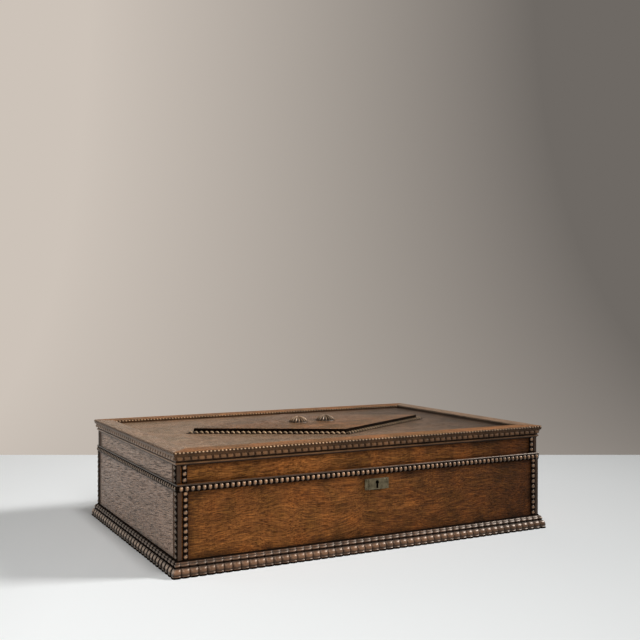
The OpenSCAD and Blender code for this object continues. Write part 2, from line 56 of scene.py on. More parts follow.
# The table top and the wall behind it, as one sheet that sweeps up behind the table's back edge.
# The table is pale and takes the shadow, and its colour darkens to the right as painted shade.
# The wall glows in a painted light, a gradient from beige on the left to grey on the right.
def rest_hands():
    """Back to object mode with nothing selected."""
    if bpy.context.object and bpy.context.object.mode != "OBJECT":
        bpy.ops.object.mode_set(mode="OBJECT")
    bpy.ops.object.select_all(action="DESELECT")


def take(piece, mode="OBJECT"):
    """Selects one piece alone, ready to be worked on."""
    rest_hands()
    piece.select_set(True)
    bpy.context.view_layer.objects.active = piece
    if mode == "EDIT":
        bpy.ops.object.mode_set(mode="EDIT")
        bpy.ops.mesh.select_all(action="SELECT")


def colour(red, green, blue):
    """A colour as picked from a screen, 0 to 255, as Blender's linear values."""
    made = []
    for c in (red, green, blue):
        c = c / 255
        made.append(c / 12.92 if c <= 0.04045 else ((c + 0.055) / 1.055) ** 2.4)
    return (made[0], made[1], made[2], 1.0)


def new_material(name):
    """An empty node material: its nodes, its links and its output."""
    made = bpy.data.materials.new(name)
    made.use_nodes = True
    made.node_tree.nodes.clear()
    return made, made.node_tree.nodes, made.node_tree.links


def math_node(nodes, links, kind, a, b=None, clamp=False):
    """One Math node; a and b are sockets or numbers."""
    made = nodes.new("ShaderNodeMath")
    made.operation = kind
    made.use_clamp = clamp
    for socket, value in ((0, a), (1, b)):
        if value is None:
            continue
        if isinstance(value, (int, float)):
            made.inputs[socket].default_value = value
        else:
            links.new(value, made.inputs[socket])
    return made.outputs[0]


def ramp_node(nodes, links, fac, stops):
    """One ColorRamp over (place, colour) stops."""
    made = nodes.new("ShaderNodeValToRGB")
    band = made.color_ramp
    while len(band.elements) < len(stops):
        band.elements.new(0.5)
    for element, (place, tint) in zip(band.elements, stops):
        element.position = place
        element.color = tint
    links.new(fac, made.inputs[0])
    return made.outputs[0]


def mix_node(nodes, links, fac, a, b, blend="MIX"):
    """One colour Mix node; fac, a and b are sockets or values."""
    made = nodes.new("ShaderNodeMix")
    made.data_type = "RGBA"
    made.blend_type = blend
    for socket, value in ((0, fac), (6, a), (7, b)):
        if isinstance(value, (int, float, tuple)):
            made.inputs[socket].default_value = value
        else:
            links.new(value, made.inputs[socket])
    return made.outputs[2]


table_edge = 1.639
sweep_r = 1.6
stage_w = 9
reach_out = 2.5
rest_hands()
bpy.ops.mesh.primitive_plane_add(size=1, location=(0, 0, 0))
stage = bpy.context.object
stage.name = "table_and_wall"
bpy.ops.object.mode_set(mode="EDIT")
bpy.ops.mesh.select_all(action="SELECT")
bpy.ops.transform.resize(value=(stage_w, table_edge + reach_out, 1), center_override=(0, 0, 0))
bpy.ops.transform.translate(value=(0, (table_edge - reach_out) / 2, 0))
bpy.ops.object.mode_set(mode="OBJECT")
for edge in stage.data.edges:
    edge.select = all(stage.data.vertices[v].co.y > 1 for v in edge.vertices)
for face in stage.data.polygons:
    face.select = False
for vertex in stage.data.vertices:
    vertex.select = vertex.co.y > 1
bpy.ops.object.mode_set(mode="EDIT")
bpy.ops.mesh.select_mode(type="EDGE")
last = (0.0, 0.0)
for step in range(1, 19):
    turn = math.radians(5 * step)
    here = (sweep_r * math.sin(turn), sweep_r * (1 - math.cos(turn)))
    bpy.ops.mesh.extrude_region_move(
        TRANSFORM_OT_translate={"value": (0, here[0] - last[0], here[1] - last[1])})
    last = here
bpy.ops.mesh.extrude_region_move(TRANSFORM_OT_translate={"value": (0, 0, reach_out)})
bpy.ops.mesh.select_mode(type="VERT")
rest_hands()
stage.location = (camera.location.x, camera.location.y, 0)
stage.rotation_euler = (0, 0, heading)
for face in stage.data.polygons:
    face.use_smooth = True
stage_paint, nodes, links = new_material("table and wall")
place = nodes.new("ShaderNodeTexCoord").outputs["Object"]
part = nodes.new("ShaderNodeSeparateXYZ")
links.new(place, part.inputs[0])
across = math_node(nodes, links, "MULTIPLY_ADD", part.outputs[0], 0.6, clamp=True)
across.node.inputs[2].default_value = 0.35
painted_wall_light = ramp_node(nodes, links, across,
                      [(0.0, colour(205, 195, 185)), (1.0, colour(110, 105, 100))])
# Painted light: the wall glows in this gradient, seen directly and in reflections.
glow = nodes.new("ShaderNodeEmission")
links.new(painted_wall_light, glow.inputs["Color"])
wall_matt = nodes.new("ShaderNodeBsdfDiffuse")
links.new(painted_wall_light, wall_matt.inputs["Color"])
ray = nodes.new("ShaderNodeLightPath")
seen = math_node(nodes, links, "ADD", ray.outputs["Is Camera Ray"], ray.outputs["Is Glossy Ray"],
                 clamp=True)
seen = math_node(nodes, links, "ADD", seen, ray.outputs["Is Transmission Ray"], clamp=True)
wall = nodes.new("ShaderNodeMixShader")
links.new(seen, wall.inputs[0])
links.new(wall_matt.outputs[0], wall.inputs[1])
links.new(glow.outputs[0], wall.inputs[2])
# Painted shade: the table's colour darkens towards the right.
table_painted_shade = math_node(nodes, links, "MULTIPLY_ADD", part.outputs[0], -0.55, clamp=True)
table_painted_shade.node.inputs[2].default_value = 0.905
table_tint = mix_node(nodes, links, 1.0, colour(243, 245, 246), table_painted_shade, "MULTIPLY")
table = nodes.new("ShaderNodeBsdfDiffuse")
links.new(table_tint, table.inputs["Color"])
beyond = math_node(nodes, links, "GREATER_THAN", part.outputs[1], table_edge - 0.0005)
whole = nodes.new("ShaderNodeMixShader")
links.new(beyond, whole.inputs[0])
links.new(table.outputs[0], whole.inputs[1])
links.new(wall.outputs[0], whole.inputs[2])
out = nodes.new("ShaderNodeOutputMaterial")
links.new(whole.outputs[0], out.inputs["Surface"])
stage.data.materials.append(stage_paint)


# The studio light: a soft key lamp on the right throws the short shadow on the left, a broad one
# before the left corner lights the front, and weak ones overhead and behind give the glints.
def soft_lamp(name, place, aim, width, power, tint):
    """A square soft lamp that points at a place on the box."""
    rest_hands()
    bpy.ops.object.light_add(type="AREA", location=place)
    lamp = bpy.context.object
    lamp.name = name
    lamp.data.shape = "SQUARE"
    lamp.data.size = width
    lamp.data.energy = power
    lamp.data.color = tint
    away = [p - a for p, a in zip(place, aim)]
    lamp.rotation_euler = (math.atan2(math.hypot(away[0], away[1]), away[2]), 0,
                           math.atan2(away[1], away[0]) + math.pi / 2)
    return lamp


soft_lamp("key_lamp", (2.60, -1.12, 2.05), (0.05, 0.0, 0.05), 0.8, 104, (1.0, 1.0, 0.99))
soft_lamp("window_lamp", (-0.50, -1.30, 1.0), (-0.1, -0.15, 0.05), 0.7, 8, (1.0, 1.0, 0.99))
soft_lamp("top_lamp", (-0.10, -0.45, 1.7), (0.0, 0.0, 0.0), 0.28, 7, (1.0, 1.0, 0.99))
soft_lamp("back_lamp", (-2.1, 1.6, 0.9), (0.0, 0.0, 0.1), 1.4, 7, (1.0, 0.97, 0.95))
world = bpy.data.worlds.new("room")
bpy.context.scene.world = world
world.use_nodes = True
world.node_tree.nodes["Background"].inputs["Color"].default_value = colour(226, 224, 220)
world.node_tree.nodes["Background"].inputs["Strength"].default_value = 0.14


# The five boards of the case: oak boards, fumed and waxed, with the grain along each board. The
# sides meet the front and back face to face. Their faces carry open dark pores, wavy streaks and
# darker patches. They are darker along the mouldings, old wax and painted shade, and the front
# and back darken towards their right end (+x) as painted shade.
def noise_node(nodes, links, vector, scale, detail):
    """One Noise texture over a vector socket."""
    made = nodes.new("ShaderNodeTexNoise")
    made.inputs["Scale"].default_value = scale
    made.inputs["Detail"].default_value = detail
    links.new(vector, made.inputs["Vector"])
    return made


def skin_node(nodes, links, tone, gloss, height, strength, distance):
    """A finish's shader and its output, from its colour, roughness and relief."""
    skin = nodes.new("ShaderNodeBsdfPrincipled")
    links.new(tone, skin.inputs["Base Color"])
    links.new(gloss, skin.inputs["Roughness"])
    bump = nodes.new("ShaderNodeBump")
    bump.inputs["Strength"].default_value = strength
    bump.inputs["Distance"].default_value = distance
    links.new(height, bump.inputs["Height"])
    links.new(bump.outputs[0], skin.inputs["Normal"])
    out = nodes.new("ShaderNodeOutputMaterial")
    links.new(skin.outputs[0], out.inputs["Surface"])
    return skin


def oak_board(name, grain, pale, middle, dark, dirt_and_shade=(), rough=0.40, shift=0.0, sheen=0.5,
              pore=(9, 0.62, 0.44), tilt=0.0, wave=0.03, figure=1.0, keyhole_shade=None, ends=None):
    """Waxed oak with its grain along axis 0, 1 or 2, in metres.

    Dirt_and_shade is (axis, place, width), each darkening the colour along a place: old wax and
    painted shade where it is narrow, painted shade alone where it is wide. Keyhole_shade is a
    keyhole's (x, z, half size), painted black inside as shade. Past a distance of ends from the
    middle, end grain shows.
    """
    made, nodes, links = new_material(name)
    coords = nodes.new("ShaderNodeTexCoord").outputs["Object"]
    turn = nodes.new("ShaderNodeMapping")
    turn.inputs["Location"].default_value = (shift, shift * 0.7, shift * 0.3)
    turn.inputs["Rotation"].default_value = (tilt, 0, 0)
    links.new(coords, turn.inputs["Vector"])
    swell = noise_node(nodes, links, turn.outputs[0], 9, 2)
    drift = nodes.new("ShaderNodeVectorMath")
    drift.operation = "MULTIPLY_ADD"
    drift.inputs[1].default_value = [0.0 if axis == grain else wave for axis in range(3)]
    links.new(swell.outputs["Color"], drift.inputs[0])
    links.new(turn.outputs[0], drift.inputs[2])

    def along(length, width, detail, roughness, distortion=0.0):
        """Noise in streaks of a length and a width, in millimetres."""
        stretch = nodes.new("ShaderNodeVectorMath")
        stretch.operation = "MULTIPLY"
        stretch.inputs[1].default_value = [1000 / length if axis == grain else 1000 / width
                                           for axis in range(3)]
        links.new(drift.outputs[0], stretch.inputs[0])
        noise = noise_node(nodes, links, stretch.outputs[0], 1.0, detail)
        noise.inputs["Roughness"].default_value = roughness
        noise.inputs["Distortion"].default_value = distortion
        return noise.outputs["Fac"]

    streaks = along(26, 1.25, 4, 0.62, 0.3)
    tone = ramp_node(nodes, links, streaks, [(0.30, dark), (0.50, middle), (0.70, pale)])
    bands = ramp_node(nodes, links, along(200, 16, 3, 0.55),
                      [(0.36, (0.80, 0.78, 0.74, 1)), (0.62, (1.08, 1.08, 1.08, 1))])
    tone = mix_node(nodes, links, figure, tone, bands, "MULTIPLY")
    ripple = ramp_node(nodes, links, along(1.3, 6, 2, 0.5, 0.6),
                       [(0.36, (0.84, 0.83, 0.80, 1)), (0.64, (1.12, 1.10, 1.06, 1))])
    tone = mix_node(nodes, links, 1.0, tone, ripple, "MULTIPLY")
    patch = noise_node(nodes, links, turn.outputs[0], 34, 4)
    patches = ramp_node(nodes, links, patch.outputs["Fac"],
                        [(0.34, (0.72, 0.78, 0.70, 1)), (0.52, (1.0, 1.0, 1.0, 1)),
                         (0.68, (1.16, 1.06, 0.95, 1))])
    tone = mix_node(nodes, links, figure, tone, patches, "MULTIPLY")
    pores = ramp_node(nodes, links, along(pore[0], pore[1], 3, 0.6),
                      [(0.38, (0, 0, 0, 1)), (0.52, (1, 1, 1, 1))])
    fine = ramp_node(nodes, links, along(3.5, 0.4, 1, 0.6),
                     [(0.34, (0, 0, 0, 1)), (0.50, (1, 1, 1, 1))])
    open_pores = mix_node(nodes, links, 0.5, pores, fine, "MULTIPLY")
    deep = (pore[2], pore[2] * 0.93, pore[2] * 0.86, 1)
    holes = ramp_node(nodes, links, open_pores, [(0.0, deep), (1.0, (1.14, 1.14, 1.14, 1))])
    tone = mix_node(nodes, links, 1.0, tone, holes, "MULTIPLY")
    # Each entry darkens the colour along a place: old wax and painted shade by a moulding, painted
    # shade alone where it is wide, towards the right end.
    if dirt_and_shade:
        sides = nodes.new("ShaderNodeSeparateXYZ")
        links.new(coords, sides.inputs[0])
        for axis, place, width in dirt_and_shade:
            gap = math_node(nodes, links, "SUBTRACT", sides.outputs[axis], place)
            gap = math_node(nodes, links, "ABSOLUTE", gap)
            gap = math_node(nodes, links, "DIVIDE", gap, width)
            blotch = 0.9 if width < 0.1 else 0.3
            gap = math_node(nodes, links, "ADD", gap, (0.9 - blotch) / 2)
            tone_level = math_node(nodes, links, "MULTIPLY_ADD", patch.outputs["Fac"], blotch)
            links.new(gap, tone_level.node.inputs[2])
            shade = ramp_node(nodes, links, tone_level,
                              [(0.30, (0.36, 0.33, 0.31, 1)), (1.0, (1, 1, 1, 1))])
            tone = mix_node(nodes, links, 1.0, tone, shade, "MULTIPLY")
    if ends:
        end_grain = math_node(nodes, links, "ABSOLUTE", sides.outputs[0])
        end_grain = math_node(nodes, links, "GREATER_THAN", end_grain, ends)
        tone = mix_node(nodes, links, end_grain, tone, colour(96, 74, 58))
    # Painted shade: the board is black inside the keyhole, where it is dark.
    if keyhole_shade:
        across = math_node(nodes, links, "SUBTRACT", sides.outputs[0], keyhole_shade[0])
        across = math_node(nodes, links, "ABSOLUTE", across)
        up = math_node(nodes, links, "SUBTRACT", sides.outputs[2], keyhole_shade[1])
        up = math_node(nodes, links, "ABSOLUTE", up)
        far = math_node(nodes, links, "MAXIMUM", across, up)
        far = math_node(nodes, links, "GREATER_THAN", far, keyhole_shade[2])
        tone = mix_node(nodes, links, far, colour(5, 3, 2), tone)
    gloss = math_node(nodes, links, "MULTIPLY_ADD", open_pores, -0.40)
    gloss.node.inputs[2].default_value = rough + 0.40
    skin = skin_node(nodes, links, tone, gloss, open_pores, 0.55, 0.0004)
    skin.inputs["Specular IOR Level"].default_value = sheen
    skin.inputs["Specular Tint"].default_value = (1.0, 0.92, 0.85, 1)
    return made


def dress(piece, finish):
    """Gives a piece, or a CAD node, one material."""
    if not piece.data.materials:
        piece.data.materials.append(finish)
    for slot in piece.material_slots:
        slot.material = finish


half_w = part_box("front_board")[1].x
half_d = -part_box("front_board")[0].y
case_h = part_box("front_board")[1].z
strip_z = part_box("base_bead_front")[1].z
rim_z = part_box("rim_bead_front")[0].z
front_pale, front_middle, front_dark = colour(158, 102, 50), colour(121, 74, 35), colour(82, 49, 23)
# Darker along the base bead, the rim and the corner strips, old wax and painted shade; the front and
# back also darken towards the right end (+x) as painted shade.
front_dirt_and_shade = [(2, strip_z, 0.016), (2, rim_z, 0.014), (0, half_w - 0.011, 0.012),
              (0, -half_w + 0.011, 0.012), (0, half_w, 0.60), (0, half_w, 0.18)]
side_dirt_and_shade = [(2, strip_z, 0.008), (2, rim_z, 0.009), (1, -half_d + 0.006, 0.010),
             (1, half_d - 0.006, 0.009)]
keyhole_z = 0.0745
end_grain_x = half_w - 0.0002
front_oak = oak_board("oak, case front", 0, front_pale, front_middle, front_dark, front_dirt_and_shade, 0.42,
                      0.0, 0.09, keyhole_shade=(0.0, keyhole_z, 0.0062), ends=end_grain_x)
back_oak = oak_board("oak, case back", 0, front_pale, front_middle, front_dark, front_dirt_and_shade, 0.46, 3.1,
                     ends=end_grain_x)
right_oak = oak_board("oak, case right", 1, front_pale, front_middle, front_dark, side_dirt_and_shade, 0.42,
                      27.1, 0.2)
# The left board is coloured paler and greyer than the right one of the same oak: a painted sheen.
left_oak_painted_sheen = oak_board("oak, case left, painted sheen", 1, colour(191, 156, 134), colour(170, 138, 118),
                     colour(140, 112, 94), side_dirt_and_shade, 0.24, 5.3, 0.7, (15, 0.6, 0.10), 0.13, 0.003,
                     0.3)
inner_oak = oak_board("oak, case bottom", 0, colour(158, 110, 70), colour(128, 86, 54),
                      colour(94, 62, 40), (), 0.5, 7.7, 0.4)
for node, finish in (("front_board", front_oak), ("back_board", back_oak), ("left_board", left_oak_painted_sheen),
                     ("right_board", right_oak), ("bottom_board", inner_oak)):
    dress(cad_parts[node], finish)


# The plinth and the base bead: one oak moulding planed to a cushion under two small ridges, then
# notched across by a carver at every 9.6 mm and mitred at the corners. It is stained darker than
# the boards. Its high places are lighter, polished by handling and with painted highlights; its
# quirks and notches are painted dark as shade, darker still on the side rows.
def carved_oak(name, hollow, middle, high, rough=0.30, sheen=0.5):
    """Waxed oak whose colour follows the piece's wear_and_light, hollow to high, and that darkens
    to the right as painted shade.
    """
    made, nodes, links = new_material(name)
    coords = nodes.new("ShaderNodeTexCoord").outputs["Object"]
    wear_and_light = nodes.new("ShaderNodeAttribute")
    wear_and_light.attribute_name = "wear_and_light"
    rub = noise_node(nodes, links, coords, 240, 3)
    patch = noise_node(nodes, links, coords, 34, 2)
    tone_level = math_node(nodes, links, "MULTIPLY_ADD", rub.outputs["Fac"], 0.30)
    links.new(wear_and_light.outputs["Fac"], tone_level.node.inputs[2])
    tone_level = math_node(nodes, links, "SUBTRACT", tone_level, 0.15)
    tone = ramp_node(nodes, links, tone_level, [(0.06, hollow), (0.52, middle), (0.98, high)])
    patches = ramp_node(nodes, links, patch.outputs["Fac"],
                        [(0.34, (0.66, 0.66, 0.66, 1)), (0.66, (1.28, 1.22, 1.16, 1))])
    tone = mix_node(nodes, links, 1.0, tone, patches, "MULTIPLY")
    apart = nodes.new("ShaderNodeSeparateXYZ")
    links.new(coords, apart.inputs[0])
    right_painted_shade = math_node(nodes, links, "MULTIPLY_ADD", apart.outputs[0], -1.45, clamp=True)
    right_painted_shade.node.inputs[2].default_value = 0.84
    tone = mix_node(nodes, links, 1.0, tone, right_painted_shade, "MULTIPLY")
    gloss = math_node(nodes, links, "MULTIPLY_ADD", tone_level, -0.22)
    gloss.node.inputs[2].default_value = rough + 0.20
    skin = skin_node(nodes, links, tone, gloss, rub.outputs["Fac"], 0.25, 0.0003)
    skin.inputs["Specular IOR Level"].default_value = sheen
    skin.inputs["Specular Tint"].default_value = (1.0, 0.80, 0.64, 1)
    return made


def drawn_section(name, points):
    """A flat face in the plane x = 0, drawn from point to point; (reach, height) in millimetres."""
    rest_hands()
    bpy.ops.mesh.primitive_plane_add(size=0.001, location=(0, 0, 0))
    piece = bpy.context.object
    piece.name = name
    bpy.ops.object.mode_set(mode="EDIT")
    bpy.ops.mesh.select_mode(type="VERT")
    bpy.ops.mesh.select_all(action="SELECT")
    bpy.ops.mesh.merge(type="CENTER")
    bpy.ops.mesh.select_all(action="SELECT")
    bpy.ops.transform.translate(value=(0, -points[0][0] / 1000, points[0][1] / 1000))
    for here, there in zip(points, points[1:]):
        bpy.ops.mesh.extrude_vertices_move(TRANSFORM_OT_translate={
            "value": (0, (here[0] - there[0]) / 1000, (there[1] - here[1]) / 1000)})
    bpy.ops.mesh.select_all(action="SELECT")
    bpy.ops.mesh.edge_face_add()
    return piece


def drawn_out(piece, columns):
    """Draws the section out along X; each column is (place, part of the reach that is left)."""
    take(piece, "EDIT")
    bpy.ops.transform.resize(value=(1, columns[0][1], 1), center_override=(0, 0, 0))
    for (x0, s0), (x1, s1) in zip(columns, columns[1:]):
        bpy.ops.mesh.extrude_region_move(TRANSFORM_OT_translate={"value": (x1 - x0, 0, 0)})
        bpy.ops.transform.resize(value=(1, s1 / s0, 1), center_override=(0, 0, 0))
    bpy.ops.object.mode_set(mode="OBJECT")
    ends = (columns[0][0], columns[-1][0])
    for face in piece.data.polygons:
        face.select = abs(face.normal.x) > 0.999 and min(abs(face.center.x - e) for e in ends) < 1e-6
    bpy.ops.object.mode_set(mode="EDIT")
    bpy.ops.mesh.select_mode(type="FACE")
    bpy.ops.mesh.delete(type="ONLY_FACE")
    bpy.ops.mesh.select_mode(type="VERT")
    bpy.ops.object.mode_set(mode="OBJECT")


def set_wear_and_light(piece, rule):
    """Writes each point's wear_and_light, 0 in a hollow to 1 on a high place: rub on the high places
    with painted highlights, and painted shade in the hollows.
    """
    layer = piece.data.attributes.get("wear_and_light") or piece.data.attributes.new("wear_and_light", "FLOAT", "POINT")
    layer.data.foreach_set("value", [min(1.0, max(0.0, rule(v.co * 1000)))
                                     for v in piece.data.vertices])


def dark_hollows(piece, limit=0.2):
    """Gives the faces with little wear_and_light the nearly black finish: painted shade, with old wax
    in a carving's hollows.
    """
    wear_and_light = piece.data.attributes["wear_and_light"].data
    piece.data.materials.append(painted_shade_finish)
    for face in piece.data.polygons:
        tone_level = sum(wear_and_light[v].value for v in face.vertices) / len(face.vertices)
        if tone_level < limit and face.material_index == 0:
            face.material_index = len(piece.data.materials) - 1


def settle(piece):
    """Puts a piece's turn, size and place into its mesh."""
    take(piece)
    bpy.ops.object.transform_apply(location=True, rotation=True, scale=True)


def moved(piece, x, y, z):
    """Moves a piece and settles it."""
    piece.location = (x, y, z)
    settle(piece)


def turned(piece, x, y, z):
    """Turns a piece about the origin and settles it."""
    piece.rotation_euler = (x, y, z)
    settle(piece)


def arrayed(row, count, step, merge=False):
    """Repeats a piece along X; merged copies share the points where they meet."""
    array = row.modifiers.new("row", "ARRAY")
    array.count = count
    array.use_relative_offset = False
    array.use_constant_offset = True
    array.constant_offset_displace = (step, 0, 0)
    array.use_merge_vertices = merge
    array.merge_threshold = 0.00001
    bpy.ops.object.modifier_apply(modifier="row")


def repeated(unit, name, length, count, start):
    """A row of one unit, count times over a length, with its first end at start."""
    take(unit)
    bpy.ops.object.duplicate()
    row = bpy.context.object
    row.name = name
    step = length / count
    row.scale.x = step / unit["pitch"]
    settle(row)
    arrayed(row, count, step, True)
    row.location.x = start
    settle(row)
    return row


def mitred(row, half_len, angle=25):
    """Cuts both ends of a front moulding at 45 degrees and closes them."""
    take(row, "EDIT")
    bpy.ops.mesh.bisect(plane_co=(-half_len, 0, 0), plane_no=(1, -1, 0), use_fill=True,
                        clear_inner=True)
    bpy.ops.mesh.select_all(action="SELECT")
    bpy.ops.mesh.bisect(plane_co=(half_len, 0, 0), plane_no=(1, 1, 0), use_fill=True,
                        clear_outer=True)
    bpy.ops.mesh.select_all(action="SELECT")
    bpy.ops.mesh.normals_make_consistent(inside=False)
    rest_hands()
    take(row)
    bpy.ops.object.shade_smooth_by_angle(angle=math.radians(angle))


def on_side(piece, side, reach):
    """Moves a front moulding out to its side of the box; 0 front, 1 right, 2 back, 3 left."""
    moved(piece, 0, -reach, 0)
    turned(piece, 0, 0, side * math.pi / 2)


def part_of(piece, body, slot_name, *nodes_hidden):
    """Says what a piece rides on and which solids it stands for. Its slot_name is not used."""
    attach(piece, body)
    if nodes_hidden:
        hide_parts(*nodes_hidden)


side_names = ["front", "right", "back", "left"]
moulding_finish = carved_oak("oak, carved moulding", colour(22, 13, 7), colour(66, 43, 28),
                             colour(126, 94, 72), 0.33, 0.5)
# Nearly black and dull: painted shade in hollows, gaps and recesses, with old wax in a carving's
# hollows.
painted_shade_finish = carved_oak("painted shade, with old wax in the hollows", colour(18, 10, 5), colour(26, 16, 9),
                        colour(36, 24, 15), 0.75, 0.08)
# The sides' copy of the moulding finish: darker as painted shade, with pale painted glints on its high
# places.
side_moulding_painted_shade = carved_oak("oak, side moulding, painted shade and glints", colour(8, 5, 3), colour(30, 20, 14),
                                  colour(168, 146, 128), 0.22, 0.8)
plinth_points = [(-0.3, 0, 0), (8.0, 0, 0), (8.0, 1.1, 0), (7.3, 1.4, 0.1), (7.8, 2.2, 0.9),
                 (7.2, 2.9, 0.2), (7.6, 3.9, 0.5), (7.5, 5.3, 0.9), (6.9, 7.0, 1.0), (5.8, 8.5, 0.9),
                 (4.6, 9.3, 0.3), (3.7, 9.8, 0.0), (3.6, 10.7, 0.0), (4.2, 11.4, 0.5),
                 (4.3, 12.3, 0.9), (3.7, 13.2, 0.5), (3.1, 13.6, 0.1), (3.2, 14.3, 0.7),
                 (2.5, 15.0, 0.6), (1.2, 15.4, 0.0), (0.9, 16.7, 0.0), (-0.3, 16.7, 0.0)]
notch_pitch = 0.0096
notches = [(0.0, 0.76), (0.0011, 0.90), (0.0027, 0.97), (0.0048, 1.0), (0.0069, 0.97),
           (0.0085, 0.90), (notch_pitch, 0.76)]
plinth_unit = drawn_section("plinth_notch", [p[:2] for p in plinth_points])
drawn_out(plinth_unit, notches)
plinth_unit["pitch"] = notch_pitch


def plinth_wear_and_light(point, notch):
    """Wear_and_light of the section's nearest point; notch is what is left of it in a notch's bottom.
    """
    left = min(notches, key=lambda n: abs(n[0] * 1000 - point.x))[1]
    near = min(plinth_points, key=lambda p: abs(p[0] + point.y / left) + abs(p[1] - point.z))
    return near[2] * (notch if left < 0.8 else notch + 0.45 if left < 0.95 else 1.0)


for side, (half_len, reach) in enumerate([(half_w, half_d), (half_d, half_w)] * 2):
    whole_len = 2 * half_len + 0.016
    set_wear_and_light(plinth_unit, lambda p: plinth_wear_and_light(p, 0.0 if side % 2 else 0.44))
    row = repeated(plinth_unit, "plinth_" + side_names[side] + "_carved", whole_len,
                   round(whole_len / notch_pitch), -whole_len / 2)
    mitred(row, half_len, 28)
    on_side(row, side, reach)
    dress(row, side_moulding_painted_shade if side % 2 else moulding_finish)
    dark_hollows(row, 0.3 if side % 2 else 0.12)
    part_of(row, "case", "moulding_oak", "plinth_" + side_names[side],
            "base_bead_" + side_names[side])
bpy.data.objects.remove(plinth_unit)


# The rim moulding: a turned string of beads split down its length and glued under a plain fillet
# along the case's top edge, one strip to a side. The back one is notched for the hinges.
def half_bead(name, long, high, out, segments=10, rings=8):
    """Half of a turned bead, its flat back sunk a little; its turning axis lies along X."""
    rest_hands()
    bpy.ops.mesh.primitive_uv_sphere_add(segments=segments, ring_count=rings, radius=0.001,
                                         location=(0, 0, 0), rotation=(0, math.pi / 2, 0))
    bead = bpy.context.object
    bead.name = name
    settle(bead)
    take(bead, "EDIT")
    bpy.ops.transform.resize(value=(long / 2, out, high / 2), center_override=(0, 0, 0))
    bpy.ops.mesh.bisect(plane_co=(0, 0.00015, 0), plane_no=(0, 1, 0), use_fill=True,
                        clear_outer=True)
    bpy.ops.object.mode_set(mode="OBJECT")
    for face in bead.data.polygons:
        face.use_smooth = True
    # Lighter on the crown and towards the top: rub on the crown, and a painted highlight.
    set_wear_and_light(bead, lambda p: (1.2 * max(0.0, 1 - (2 * p.x / long) ** 2) ** 1.4
                              * min(1.0, max(0.0, -0.45 - 1.7 * p.y / out))
                              * (0.8 + 0.8 * p.z / high)))
    return bead


def bead_row(bead, name, length, count, start):
    """Copies of a half bead in a row along X, each copy loose from the next."""
    take(bead)
    bpy.ops.object.duplicate()
    row = bpy.context.object
    row.name = name
    step = length / count
    arrayed(row, count, step)
    row.location.x = start + step / 2
    settle(row)
    return row


def joined(pieces, name):
    """Joins pieces to one."""
    rest_hands()
    for piece in pieces:
        piece.select_set(True)
    bpy.context.view_layer.objects.active = pieces[0]
    bpy.ops.object.join()
    made = bpy.context.object
    made.name = name
    return made


def plain_bar(name, points, half_len, over, wear_and_light=0.55, angle=30):
    """A plain moulding with mitred ends, of one wear_and_light all over."""
    bar = drawn_section(name, points)
    take(bar, "EDIT")
    bpy.ops.transform.translate(value=(-half_len - over, 0, 0))
    bpy.ops.mesh.extrude_region_move(
        TRANSFORM_OT_translate={"value": (2 * (half_len + over), 0, 0)})
    bpy.ops.object.mode_set(mode="OBJECT")
    set_wear_and_light(bar, lambda p: wear_and_light)
    mitred(bar, half_len, angle)
    return bar


bead_finish = carved_oak("oak, turned beads", colour(10, 6, 3), colour(56, 34, 19),
                         colour(176, 134, 98), 0.28, 0.8)
